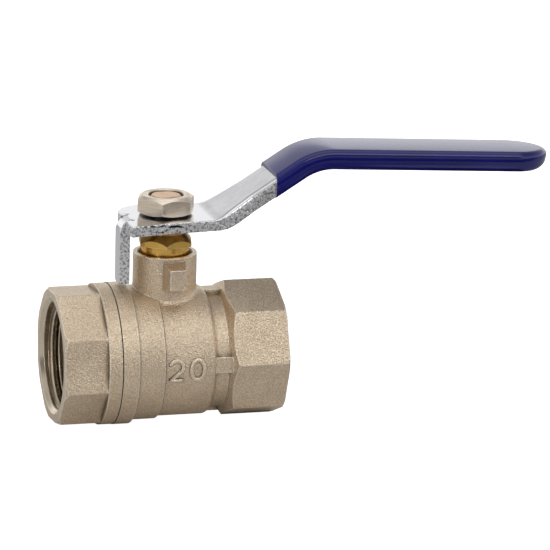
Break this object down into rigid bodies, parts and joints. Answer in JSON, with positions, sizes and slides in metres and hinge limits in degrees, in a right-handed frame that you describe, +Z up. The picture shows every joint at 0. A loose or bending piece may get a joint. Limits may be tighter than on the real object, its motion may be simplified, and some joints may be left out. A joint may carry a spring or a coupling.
{
  "type": "ball valve",
  "caption": "Threaded pipe ball valve with octagonal ends and a bent lever handle in a dipped sleeve; a quarter turn of the lever shuts the flow.",
  "frame": {"origin": "centre of the ball, where the pipe axis crosses the stem axis", "axes": "+X along the pipe axis to the body's own threaded end, which is also the way the lever points when open; +Z up the stem"},
  "size_m": [0.1254, 0.035, 0.0681],
  "materials": {
    "nickel_plated_brass": "sand-blasted casting with dull nickel plating",
    "nickel_plated_nut": "machined and bright nickel plated",
    "bare_brass": "machined bare brass",
    "polished_ball": "polished and chrome plated",
    "zinc_plated_steel": "bright zinc plating with sheared edges",
    "blue_pvc": "glossy dipped soft PVC",
    "ptfe": "white PTFE, waxy",
    "nitrile_rubber": "matt black rubber"
  },
  "bodies": {
    "housing": {"body": "nickel_plated_brass", "end_cap": "nickel_plated_brass", "seat_ring_body_end": "ptfe", "seat_ring_cap_end": "ptfe", "body_joint_gasket": "ptfe", "stem_thrust_washer": "ptfe", "packing_bottom_adapter": "ptfe", "packing_v_ring": "ptfe", "packing_top_adapter": "ptfe", "gland_nut": "bare_brass"},
    "operator": {"stem": "bare_brass", "stem_o_ring": "nitrile_rubber", "lever": "zinc_plated_steel", "lever_grip": "blue_pvc", "lever_nut": "nickel_plated_nut"},
    "ball": {"ball": "polished_ball"}
  },
  "joints": [
    {"name": "lever_turn", "type": "hinge", "parent": "housing", "child": "operator", "pos_m": [0, 0, 0], "axis": [0, 0, 1], "range_deg": [-90, 0]},
    {"name": "ball_turn", "type": "hinge", "parent": "housing", "child": "ball", "pos_m": [0, 0, 0], "axis": [0, 0, 1], "range_deg": [-90, 0]}
  ],
  "couplings": [
    {"joint": "ball_turn", "follows": "lever_turn", "ratio": 1}
  ]
}
